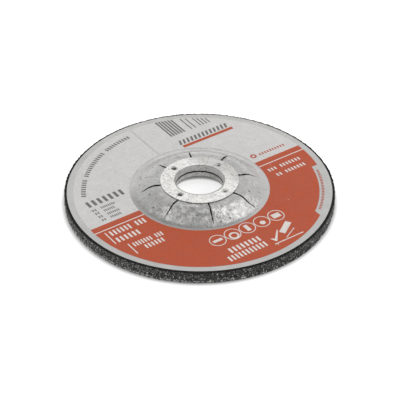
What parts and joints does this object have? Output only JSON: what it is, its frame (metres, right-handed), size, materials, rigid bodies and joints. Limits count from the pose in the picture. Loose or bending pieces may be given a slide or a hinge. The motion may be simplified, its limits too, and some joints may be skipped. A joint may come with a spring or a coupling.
{
  "type": "grinding disc",
  "caption": "Depressed-centre grinding disc: dark bonded abrasive, metallised paper label with pale and red fields, and steel rings in the bore.",
  "frame": {"origin": "where the disc's axis meets the plane of its grinding side, on which it lies", "axes": "+Z along the axis, from the grinding side towards the raised hub; +X to the right in the picture; +Y away from the viewer"},
  "size_m": [0.125, 0.125, 0.0106],
  "materials": {
    "bonded_abrasive": "coarse bonded grit, matt with small glints",
    "label_paper": "metallised paper, satin, slightly creased over the hub",
    "grey_ink": "pale warm grey ink, matt",
    "red_ink": "brick red ink, matt",
    "white_ink": "off-white ink, matt",
    "dark_ink": "dark grey ink, matt",
    "plated_steel": "zinc-plated pressed sheet, bright and satin"
  },
  "bodies": {
    "root": {"abrasive_disc": "bonded_abrasive", "label": "label_paper", "upper_ring": "plated_steel", "lower_ring": "plated_steel", "grey_print": "grey_ink", "red_print": "red_ink", "white_print": "white_ink", "dark_print": "dark_ink"}
  },
  "joints": []
}
